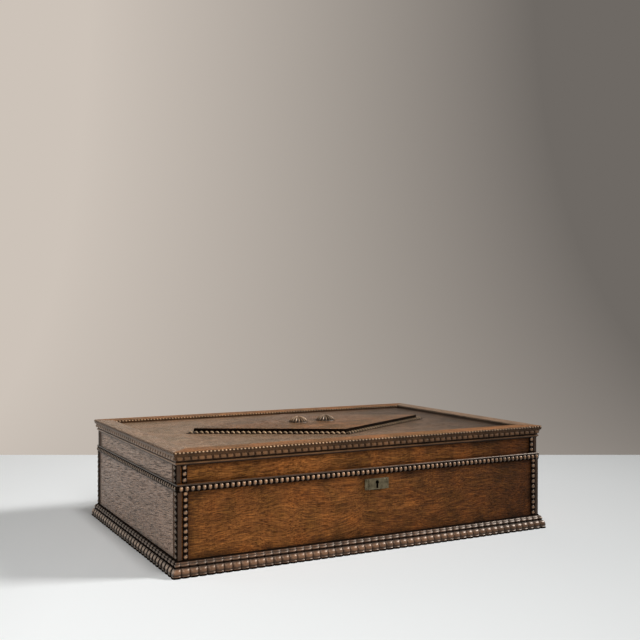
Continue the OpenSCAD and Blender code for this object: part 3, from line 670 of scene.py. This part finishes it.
# The sides' copy of the bead finish: darker as painted shade, with pale painted glints.
side_bead_painted_shade = carved_oak("oak, side beads, painted shade and glints", colour(5, 3, 2), colour(22, 15, 10),
                              colour(160, 138, 118), 0.22, 0.8)
rim_lo, rim_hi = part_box("rim_bead_front")
rim_bead_h = 6.5
rim_pitch = 0.00645
hinge_in, half_notch = 0.092, 0.0255
rim_bead_z = rim_hi.z - 0.0014 - rim_bead_h / 2000
rim_bead = half_bead("rim_bead", 6.2, rim_bead_h, 2.95)
low, fill, top = 1000 * rim_lo.z, 1000 * rim_hi.z - 1.4, 1000 * rim_hi.z
rim_section = [(-0.3, low), (0.5, low), (0.9, low + 0.4), (0.9, fill - 0.1), (1.3, fill + 0.2),
               (1.35, top - 0.3), (1.1, top), (-0.3, top)]
for side, (half_len, reach) in enumerate([(half_w, half_d), (half_d, half_w)] * 2):
    count = round(2 * half_len / rim_pitch)
    beads = bead_row(rim_bead, "beads", 2 * half_len, count, -half_len)
    beads.location.z = rim_bead_z
    settle(beads)
    bar = plain_bar("bar", rim_section, half_len, 0.002, 0.30)
    # The bar is painted dark behind and between the beads as shade, lighter along the fillet's front.
    set_wear_and_light(bar, lambda p: 0.40 if p.z > fill - 0.05 and p.y < -1 else 0.06)
    row = joined([bar, beads], "rim_" + side_names[side] + "_beads")
    if side == 2:
        take(row, "EDIT")
        for edge_x in (-1, 1):
            leaf_lo, leaf_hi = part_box("hinge_case_leaf_left" if edge_x > 0 else
                                      "hinge_case_leaf_right")
            for cut_x in (leaf_lo.x - 0.0005, leaf_hi.x + 0.0005):
                bpy.ops.mesh.select_all(action="SELECT")
                bpy.ops.mesh.bisect(plane_co=(-cut_x, 0, 0), plane_no=(1, 0, 0))
        bpy.ops.mesh.select_all(action="SELECT")
        notch_z = case_h - 0.0030
        bpy.ops.mesh.bisect(plane_co=(0, 0, notch_z), plane_no=(0, 0, 1))
        bpy.ops.object.mode_set(mode="OBJECT")
        for vertex in row.data.vertices:
            vertex.select = False
        for face in row.data.polygons:
            inside = abs(abs(face.center.x) - (half_w - hinge_in)) < half_notch
            face.select = inside and face.center.z > notch_z
        bpy.ops.object.mode_set(mode="EDIT")
        bpy.ops.mesh.select_mode(type="FACE")
        bpy.ops.mesh.delete(type="FACE")
        bpy.ops.mesh.select_mode(type="VERT")
        bpy.ops.mesh.select_all(action="SELECT")
        bpy.ops.mesh.fill_holes(sides=0)
        bpy.ops.mesh.normals_make_consistent(inside=False)
        rest_hands()
    on_side(row, side, reach)
    dress(row, side_bead_painted_shade if side % 2 else bead_finish)
    dark_hollows(row)
    part_of(row, "case", "moulding_oak", "rim_bead_" + side_names[side])
bpy.data.objects.remove(rim_bead)


# The corner strips of the case: split turned beads glued upright beside a plain fillet at each
# front corner, and round the corner on the side boards. The back corners have them on the sides.
def upright(row, x, face_y, bottom, turn):
    """Stands a bead row up on a front face, its first bead at the bottom, then turns it in place."""
    turned(row, 0, -math.pi / 2, 0)
    moved(row, x, face_y, bottom)
    turned(row, 0, 0, turn)


def cut_level(piece, height):
    """Saws a strip off level at a height and closes the cut."""
    take(piece, "EDIT")
    bpy.ops.mesh.bisect(plane_co=(0, 0, height), plane_no=(0, 0, 1), use_fill=True,
                        clear_outer=True)
    bpy.ops.mesh.select_all(action="SELECT")
    bpy.ops.mesh.normals_make_consistent(inside=False)
    rest_hands()


corner_pitch = 0.0065
strip_in = 0.0032
core_section = [(-0.2, -3.1), (0.5, -3.1), (0.8, -2.2), (0.9, 2.2), (0.5, 3.1), (-0.2, 3.1)]
corner_bead = half_bead("corner_bead", 6.0, 5.5, 2.7)
side_bead = half_bead("side_bead", 6.3, 6.0, 1.95)


def corner_strips(name, body, bottom, top, depth_half, node, side_node, ends):
    """The beaded strips of one body: two on the front, and one on each side board's ends."""
    count = math.ceil((top - bottom) / corner_pitch)
    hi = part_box(node)[1]
    bead_x = hi.x - strip_in
    strips = []
    for sign in (-1, 1):
        strip = bead_row(corner_bead, "strip", count * corner_pitch, count, 0)
        upright(strip, sign * bead_x, -depth_half, bottom, 0)
        cut_level(strip, top)
        # The core between the beads is painted dark as shade.
        core = plain_bar("core", core_section, (top - bottom) / 2, 0, 0.0)
        upright(core, sign * bead_x, -depth_half, (top + bottom) / 2, 0)
        strips += [strip, core]
    piece = joined(strips, name + "_front_strips")
    dress(piece, bead_finish)
    dark_hollows(piece)
    part_of(piece, body, "moulding_oak", node)
    strips = []
    for sign in (-1, 1):
        for end in ends:
            strip = bead_row(side_bead, "strip", count * corner_pitch, count, 0)
            upright(strip, 0, 0, bottom, sign * math.pi / 2)
            moved(strip, sign * half_w, end * (depth_half - strip_in), 0)
            cut_level(strip, top)
            # The core between the beads is painted dark as shade.
            core = plain_bar("core", core_section, (top - bottom) / 2, 0, 0.0)
            upright(core, 0, 0, (top + bottom) / 2, sign * math.pi / 2)
            moved(core, sign * half_w, end * (depth_half - strip_in), 0)
            strips += [strip, core]
    piece = joined(strips, name + "_side_strips")
    dress(piece, side_bead_painted_shade)
    dark_hollows(piece)
    part_of(piece, body, "moulding_oak", side_node)


corner_strips("case", "case", strip_z, rim_z, half_d, "case_front_beads", "case_side_beads",
              (-1, 1))


# The plain fillets at the front corners: thin oak slips that close the corner beside the beads,
# with their long edges rubbed round.
def eased_copy(node, name, ease, wear_and_light=0.6):
    """A maker's copy of a CAD piece: its facets joined and its edges eased."""
    take(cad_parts[node])
    bpy.ops.object.duplicate()
    piece = bpy.context.object
    piece.name = name
    for key in list(piece.keys()):
        del piece[key]
    take(piece, "EDIT")
    bpy.ops.mesh.remove_doubles(threshold=0.000005)
    bpy.ops.mesh.dissolve_limited(angle_limit=math.radians(1))
    rest_hands()
    take(piece)
    edge = piece.modifiers.new("edge", "BEVEL")
    edge.width = ease
    edge.segments = 2
    edge.limit_method = "ANGLE"
    edge.angle_limit = math.radians(40)
    bpy.ops.object.modifier_apply(modifier="edge")
    bpy.ops.object.shade_smooth_by_angle(angle=math.radians(35))
    set_wear_and_light(piece, lambda p: wear_and_light)
    return piece


for node, name, body in (("case_front_fillets", "case_corner_fillets", "case"),
                         ("lid_front_fillets", "lid_corner_fillets", "lid"),
                         ("lid_back_strips", "lid_back_corner_strips", "lid")):
    piece = eased_copy(node, name, 0.00025, 0.36)
    dress(piece, moulding_finish)
    part_of(piece, body, "moulding_oak", node)


# The escutcheon: a small cast brass plate with a raised field round the keyhole and a lower ear
# at each end, held by four round-headed pins. It has gone dull and olive, with rubbed edges.
def aged_metal(name, dull, bright, rough, grain=900):
    """Old metal: patchy tarnish and fine scratches."""
    made, nodes, links = new_material(name)
    coords = nodes.new("ShaderNodeTexCoord").outputs["Object"]
    patch = noise_node(nodes, links, coords, 160, 4)
    grit = noise_node(nodes, links, coords, grain, 2)
    tone = ramp_node(nodes, links, patch.outputs["Fac"], [(0.34, dull), (0.68, bright)])
    gloss = math_node(nodes, links, "MULTIPLY_ADD", patch.outputs["Fac"], -0.25)
    gloss.node.inputs[2].default_value = rough + 0.12
    skin = skin_node(nodes, links, tone, gloss, grit.outputs["Fac"], 0.3, 0.0001)
    skin.inputs["Metallic"].default_value = 0.85
    return made


old_brass = aged_metal("old brass", colour(82, 74, 56), colour(130, 118, 92), 0.44)
rubbed_brass = aged_metal("rubbed brass", colour(176, 162, 128), colour(232, 220, 186), 0.30)
plate = eased_copy("escutcheon_plate", "escutcheon", 0.0005)
dress(plate, old_brass)
plate.data.materials.append(rubbed_brass)
plate.data.materials.append(painted_shade_finish)
for face in plate.data.polygons:
    face.material_index = 0 if max(abs(n) for n in face.normal) > 0.99 else 1
    # Painted shade: the faces inside the keyhole take the nearly black hollow finish.
    if abs(face.center.x) < 0.0032 and face.normal.y > -0.99 and 0.0675 < face.center.z < 0.0815:
        face.material_index = 2
part_of(plate, "case", "brass", "escutcheon_plate")
dress(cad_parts["escutcheon_pins"], old_brass)


# The lock: an iron box lock let into the front board's inner face, with a brass face plate, a
# pin for the key, a bowed spring, and a brass bolt that slides into the lid's staple.
old_iron = aged_metal("old iron", colour(70, 68, 66), colour(112, 108, 104), 0.42)
lock_brass = aged_metal("lock brass", colour(134, 108, 62), colour(176, 146, 92), 0.36)
for node in ("lock_case", "lock_key_pin", "lock_spring"):
    dress(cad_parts[node], old_iron)
for node in ("lock_plate", "lock_bolt", "link_plate"):
    dress(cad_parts[node], lock_brass)


# The hinges: two cast brass butts whose leaves are let into the edges of the back boards, on
# steel pins, with small countersunk screws.
for node in ("hinge_case_leaf_left", "hinge_case_leaf_right", "hinge_lid_leaf_left",
             "hinge_lid_leaf_right"):
    dress(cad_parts[node], lock_brass)
for node in ("hinge_pins", "case_screws", "lid_screws"):
    dress(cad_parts[node], old_iron)


# The four boards of the lid, of the same oak, a little set back from the case at front and back.
# The front one was cut from paler wood and shows more of the figure.
lid_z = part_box("lid_front_board")[1].z
lid_d = -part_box("lid_front_board")[0].y
cornice_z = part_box("cornice_front")[0].z
# Darker along the cornice and the lid's lower edge, old wax and painted shade; the front and back also
# darken towards the right end (+x) as painted shade.
lid_dirt_and_shade = [(2, cornice_z, 0.010), (2, case_h, 0.006), (0, half_w - 0.010, 0.012),
            (0, -half_w + 0.010, 0.012), (0, half_w, 0.62), (0, half_w, 0.24)]
lid_side_dirt_and_shade = [(2, cornice_z, 0.009), (2, case_h, 0.007), (1, -lid_d + 0.005, 0.010),
                 (1, lid_d - 0.005, 0.010)]
lid_oak = oak_board("oak, lid front", 0, colour(170, 111, 54), colour(130, 80, 38),
                    colour(85, 51, 24), lid_dirt_and_shade, 0.40, 11.9, 0.08,
                    ends=end_grain_x)
lid_back_oak = oak_board("oak, lid back", 0, front_pale, front_middle, front_dark, lid_dirt_and_shade, 0.46,
                         13.3, ends=end_grain_x)
lid_right_oak = oak_board("oak, lid right", 1, front_pale, front_middle, front_dark, lid_side_dirt_and_shade,
                          0.42, 29.3, 0.2)
# The left board is coloured paler and greyer than the right one of the same oak: a painted sheen.
lid_left_oak_painted_sheen = oak_board("oak, lid left, painted sheen", 1, colour(198, 164, 142), colour(179, 147, 127),
                         colour(150, 122, 104), lid_side_dirt_and_shade, 0.24, 15.1, 0.7, (15, 0.6, 0.10), 0.13,
                         0.003, 0.3)
for node, finish in (("lid_front_board", lid_oak), ("lid_back_board", lid_back_oak),
                     ("lid_left_board", lid_left_oak_painted_sheen), ("lid_right_board", lid_right_oak)):
    dress(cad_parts[node], finish)
corner_strips("lid", "lid", case_h + 0.0004, cornice_z, lid_d, "lid_front_beads",
              "lid_side_beads", (-1,))
bpy.data.objects.remove(corner_bead)
bpy.data.objects.remove(side_bead)


# The cornice: an oak moulding under the lid's frame. A slanting band of carved square lobes hangs
# over a dark quirk and a small astragal, and each side is mitred to the next.
top_z = 1000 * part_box("lid_frame_front")[1].z
foot_z = 1000 * cornice_z
cornice_finish = carved_oak("oak, cornice", colour(30, 17, 9), colour(80, 54, 33),
                            colour(122, 88, 60), 0.38, 0.3)
# The sides' copy of the cornice finish, paler and greyer: a painted sheen.
side_cornice_painted_sheen = carved_oak("oak, cornice sides, painted sheen", colour(44, 32, 24), colour(104, 83, 67),
                                 colour(148, 122, 102), 0.30, 0.6)
cornice_section = [(-0.3, foot_z), (0.7, foot_z), (0.8, foot_z + 1.1), (1.8, foot_z + 1.3),
                   (2.3, foot_z + 2.1), (2.0, foot_z + 3.0), (1.2, foot_z + 3.4),
                   (1.0, foot_z + 4.6), (1.8, foot_z + 5.2), (3.5, foot_z + 9.8),
                   (4.5, foot_z + 10.1), (4.5, foot_z + 10.7), (-0.3, foot_z + 10.7)]
# The quirk under the lobes is painted dark as shade, and the astragal's round is painted light as a
# highlight.
cornice_wear_and_light = {2: 0.1, 3: 0.5, 4: 1.0, 5: 0.9, 6: 0.0, 7: 0.2, 8: 0.46, 9: 0.5, 10: 0.5, 11: 0.5}
lobe_pitch = 0.0081
rest_hands()
bpy.ops.mesh.primitive_cube_add(size=0.001, location=(0, 0, 0))
lobe = bpy.context.object
lobe.name = "cornice_lobe"
take(lobe, "EDIT")
bpy.ops.transform.resize(value=(7.1, 2.6, 5.3), center_override=(0, 0, 0))
bpy.ops.mesh.bevel(offset=0.00125, offset_type="OFFSET", segments=3, affect="EDGES")
bpy.ops.mesh.select_all(action="SELECT")
bpy.ops.transform.rotate(value=math.radians(20), orient_axis="X", center_override=(0, 0, 0))
bpy.ops.object.mode_set(mode="OBJECT")
for face in lobe.data.polygons:
    face.use_smooth = True
set_wear_and_light(lobe, lambda p: 0.82 if p.y < -0.6 and abs(p.x) < 2.7 else 0.45)
for side, (half_len, reach) in enumerate([(half_w, lid_d), (lid_d, half_w)] * 2):
    bar = plain_bar("bar", cornice_section, half_len, 0.005, 0.3)
    set_wear_and_light(bar, lambda p: cornice_wear_and_light[min(cornice_wear_and_light, key=lambda k: abs(
        cornice_section[k][0] + p.y) + abs(cornice_section[k][1] - p.z))])
    span = 2 * half_len + 0.004
    lobes = bead_row(lobe, "lobes", span, round(span / lobe_pitch), -span / 2)
    moved(lobes, 0, -0.0027, (foot_z + 7.8) / 1000)
    row = joined([bar, lobes], "cornice_" + side_names[side] + "_carved")
    on_side(row, side, reach)
    dress(row, side_cornice_painted_sheen if side % 2 else cornice_finish)
    part_of(row, "lid", "moulding_oak", "cornice_" + side_names[side])
bpy.data.objects.remove(lobe)


# The lid's frame: four flat oak bars, mitred, with a scratched line near the outer edge. A row of
# tiny beads is carved under the outer edge, and another along the inner edge over the panel.
frame_finish = oak_board("oak, lid frame, long bars", 0, colour(182, 124, 70), colour(146, 96, 53),
                         colour(102, 66, 37), (), 0.40, 17.7, 0.4)
# The short bars are coloured paler and greyer than the long ones of the same oak: a painted sheen.
frame_side_painted_sheen = oak_board("oak, lid frame, short bars, painted sheen", 1, colour(178, 142, 112),
                              colour(150, 116, 88), colour(112, 84, 62), (), 0.22, 19.9, 0.6,
                              (12, 0.7, 0.35), 0.0, 0.01, 0.5)
tiny_finish = carved_oak("oak, small beads", colour(20, 12, 6), colour(128, 92, 60),
                         colour(214, 182, 146), 0.30, 0.6)
frame_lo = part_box("lid_frame_front")[0]
frame_out = 1000 * (-lid_d - frame_lo.y)
frame_w = 22.8
frame_in = frame_w - frame_out
outer_pitch, inner_pitch = 0.00433, 0.00437
tiny = half_bead("tiny_bead", 3.7, 2.3, 1.15, 8, 6)
take(tiny, "EDIT")
bpy.ops.transform.rotate(value=math.radians(20), orient_axis="X", center_override=(0, 0, 0))
rest_hands()
under = 1000 * frame_lo.z
frame_section = [(-frame_in, under), (-frame_in, top_z - 2.7), (-frame_in + 0.6, top_z - 2.3),
                 (-frame_in + 0.5, top_z - 0.5), (-frame_in + 1.0, top_z), (frame_out - 5.0, top_z),
                 (frame_out - 4.7, top_z - 0.5), (frame_out - 4.4, top_z),
                 (frame_out - 1.9, top_z), (frame_out - 1.2, top_z - 0.3),
                 (frame_out - 1.0, top_z - 1.6), (frame_out - 1.2, under)]
for side, (half_len, reach) in enumerate([(half_w, lid_d), (lid_d, half_w)] * 2):
    long_finish = frame_finish if side % 2 == 0 else frame_side_painted_sheen
    bar = plain_bar("lid_frame_" + side_names[side] + "_bar", frame_section, half_len, 0.007,
                    0.42, 20)
    dress(bar, long_finish)
    bar.data.materials.append(side_cornice_painted_sheen if side % 2 else cornice_finish)
    for face in bar.data.polygons:
        edge_y = (face.center.y < -(frame_out - 1.4) / 1000
                  or face.center.y > (frame_in - 0.7) / 1000)
        face.material_index = 1 if edge_y and face.center.z < (top_z - 0.5) / 1000 else 0
    on_side(bar, side, reach)
    part_of(bar, "lid", "board_oak", "lid_frame_" + side_names[side])
    span = 2 * half_len + 2 * (frame_out - 0.8) / 1000
    outer = bead_row(tiny, "outer", span, round(span / outer_pitch), -span / 2)
    moved(outer, 0, -(frame_out - 1.15) / 1000, (top_z - 1.55) / 1000)
    span = 2 * half_len - 2 * (frame_in + 0.2) / 1000
    inner = bead_row(tiny, "inner", span, round(span / inner_pitch), -span / 2)
    turned(inner, 0, 0, math.pi)
    moved(inner, 0, (frame_in - 0.4) / 1000, (top_z - 1.7) / 1000)
    row = joined([outer, inner], "lid_frame_" + side_names[side] + "_small_beads")
    on_side(row, side, reach)
    dress(row, side_cornice_painted_sheen if side % 2 else tiny_finish)
    part_of(row, "lid", "moulding_oak")
bpy.data.objects.remove(tiny)


# The panel, one wide oak board sunk in the frame, and the raised lozenge board on it, whose upper
# edges are eased. The panel is coloured a pale grey-pink as a painted sheen; it is darker along
# the frame, old wax and painted shade, and towards the right as painted shade.
inner_x, inner_y = half_w - frame_in / 1000, lid_d - frame_in / 1000
panel_dirt_and_shade = [(0, inner_x, 0.010), (0, -inner_x, 0.010), (1, inner_y, 0.010), (1, -inner_y, 0.010),
              (0, inner_x, 0.80), (0, inner_x, 0.34)]
panel_oak_painted_sheen = oak_board("oak, lid panel, painted sheen", 0, colour(182, 148, 118), colour(155, 123, 97),
                      colour(118, 91, 70), panel_dirt_and_shade, 0.24, 21.7, 0.5, (12, 0.9, 0.3), 0.0, 0.02, 0.6)
lozenge_oak = oak_board("oak, lozenge", 0, colour(164, 118, 76), colour(128, 88, 54),
                        colour(84, 56, 34), (), 0.24, 23.9, 0.5, (12, 0.9, 0.3))
dress(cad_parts["lid_panel"], panel_oak_painted_sheen)
lozenge = eased_copy("lozenge_board", "lozenge", 0.0005)
lozenge_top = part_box("lozenge_board")[1].z
# Painted shade: the lozenge's sides below its top take the nearly black hollow finish.
set_wear_and_light(lozenge, lambda p: 0.5 if p.z > 1000 * lozenge_top - 0.3 else 0.0)
dress(lozenge, lozenge_oak)
lozenge.data.materials.append(painted_shade_finish)
for face in lozenge.data.polygons:
    face.material_index = 1 if face.center.z < lozenge_top - 0.0002 else 0
part_of(lozenge, "lid", "board_oak", "lozenge_board")


# The strips beside the lozenge: split turned strings with slanting beads like a laid rope, glued
# to the panel along the lozenge's four edges, and cut where they meet. The front-right and
# back-left ones have thinner beads, which shows them apart in the camera's view.
panel_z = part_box("lozenge_board")[0].z
lozenge_a, lozenge_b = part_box("lozenge_board")[1].x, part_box("lozenge_board")[1].y
lozenge_side = math.hypot(lozenge_a, lozenge_b)
lean = math.atan2(lozenge_b, lozenge_a)
strand_finish = carved_oak("oak, twisted strips", colour(10, 6, 4), colour(80, 59, 42),
                           colour(190, 160, 126), 0.30, 0.7)
strand_pitch = 0.0064
strand_half = 0.0032
thin = 0.68
strand = half_bead("strand", 4.6, 8.6, 3.15, 10, 8)
# Lighter on the crown: rub, and a painted highlight.
set_wear_and_light(strand, lambda p: 1.25 * (1 - (p.x / 2.3) ** 2) * min(1.0, 0.15 - 1.3 * p.y / 3.15))
take(strand, "EDIT")
bpy.ops.transform.rotate(value=math.radians(90), orient_axis="X", center_override=(0, 0, 0))
rest_hands()
if max(v.co.z for v in strand.data.vertices) < 0.001:
    take(strand, "EDIT")
    bpy.ops.transform.rotate(value=math.radians(180), orient_axis="X", center_override=(0, 0, 0))
    rest_hands()
for corner, (sx, sy) in (("front_left", (-1, -1)), ("front_right", (1, -1)),
                         ("back_right", (1, 1)), ("back_left", (-1, 1))):
    take(strand)
    bpy.ops.object.duplicate()
    twist = bpy.context.object
    twist.scale.x = 1.0 if sx * sy > 0 else thin
    settle(twist)
    turned(twist, 0, 0, math.radians(36) * sx * sy)
    whole_len = lozenge_side + 0.012
    row = bead_row(twist, "lozenge_" + corner + "_strip", whole_len, round(whole_len / strand_pitch),
                   -whole_len / 2)
    bpy.data.objects.remove(twist)
    take(row, "EDIT")
    for edge_y, keep in ((-strand_half, True), (strand_half, False)):
        bpy.ops.mesh.select_all(action="SELECT")
        bpy.ops.mesh.bisect(plane_co=(0, edge_y, 0), plane_no=(0, 1, 0), use_fill=True,
                            clear_inner=keep, clear_outer=not keep)
    rest_hands()
    # The bed is painted dark as shade.
    bed = plain_bar("bed", [(-2.4, -0.1), (-2.4, 0.5), (2.4, 0.5), (2.4, -0.1)], whole_len / 2, 0.004,
                    0.0)
    row = joined([row, bed], "lozenge_" + corner + "_strip")
    moved(row, 0, sy * strand_half, 0)
    turned(row, 0, 0, -sx * sy * lean)
    moved(row, sx * lozenge_a / 2, sy * lozenge_b / 2, panel_z)
    take(row, "EDIT")
    bpy.ops.mesh.bisect(plane_co=(0, 0, 0), plane_no=(sx, 0, 0), use_fill=True, clear_inner=True)
    bpy.ops.mesh.select_all(action="SELECT")
    bpy.ops.mesh.bisect(plane_co=(0, 0, 0), plane_no=(0, sy, 0), use_fill=True, clear_inner=True)
    bpy.ops.mesh.select_all(action="SELECT")
    bpy.ops.mesh.normals_make_consistent(inside=False)
    rest_hands()
    dress(row, strand_finish)
    dark_hollows(row, 0.12)
    part_of(row, "lid", "moulding_oak", "lozenge_bead_" + corner)
bpy.data.objects.remove(strand)


# The two rosettes: turned domes of oak on the lozenge, each carved with sixteen flutes that run
# together at the top, over a ring of small petals.
def rosette(name, centre, foot, radius, height):
    """A fluted dome, drawn up ring by ring from a flat disc of 64 points."""
    rest_hands()
    bpy.ops.mesh.primitive_circle_add(vertices=64, radius=radius, fill_type="NGON",
                                      location=(centre, 0, foot))
    piece = bpy.context.object
    piece.name = name
    settle(piece)
    take(piece, "EDIT")
    rings = [(1.0, 0.09), (0.97, 0.17), (0.90, 0.22), (0.88, 0.34), (0.80, 0.50), (0.68, 0.68),
             (0.52, 0.83), (0.34, 0.93), (0.17, 0.985), (0.05, 1.0)]
    last = (1.0, 0.0)
    for wide, high in rings:
        bpy.ops.mesh.extrude_region_move(TRANSFORM_OT_translate={
            "value": (0, 0, (high - last[1]) * height)})
        bpy.ops.transform.resize(value=(wide / last[0], wide / last[0], 1),
                                 center_override=(centre, 0, foot))
        last = (wide, high)
    bpy.ops.mesh.select_all(action="SELECT")
    bpy.ops.mesh.normals_make_consistent(inside=False)
    bpy.ops.object.mode_set(mode="OBJECT")
    flat_r = radius * 1000

    def flute(point, count=16):
        """1 on a ridge and 0 in the flute between two."""
        return 0.5 + 0.5 * math.cos(count * math.atan2(point.y, point.x - centre * 1000))

    for vertex in piece.data.vertices:
        point = vertex.co * 1000
        out_r = math.hypot(point.x - centre * 1000, point.y)
        up = (point.z - foot * 1000) / (height * 1000)
        if up > 0.2 and out_r > 0.08 * flat_r:
            cut = (1 - flute(point)) * 0.15 * min(1.0, out_r / (0.5 * flat_r))
            vertex.co.x = centre + (vertex.co.x - centre) * (1 - cut)
            vertex.co.y *= 1 - cut
            vertex.co.z -= (1 - flute(point)) * 0.0007
        elif 0.05 < up <= 0.2:
            cut = (1 - flute(point, 32)) * 0.05
            vertex.co.x = centre + (vertex.co.x - centre) * (1 - cut)
            vertex.co.y *= 1 - cut
    # The flutes are painted dark as shade and the ridges light as highlights, the foot darker still as
    # shade.
    set_wear_and_light(piece, lambda p: (0.1 + 0.9 * flute(p)) * (0.6 if p.z < foot * 1000 + 2.2 else 1.0))
    take(piece)
    bpy.ops.object.shade_smooth_by_angle(angle=math.radians(50))
    return piece


boss_finish = carved_oak("oak, rosettes", colour(14, 9, 5), colour(78, 57, 41),
                         colour(190, 160, 130), 0.34, 0.5)
for node, name in (("boss_left", "rosette_left"), ("boss_right", "rosette_right")):
    lo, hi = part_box(node)
    piece = rosette(name, (lo.x + hi.x) / 2, lo.z, (hi.x - lo.x) / 2 - 0.0005, hi.z - lo.z - 0.0010)
    dress(piece, boss_finish)
    part_of(piece, "lid", "moulding_oak", node)
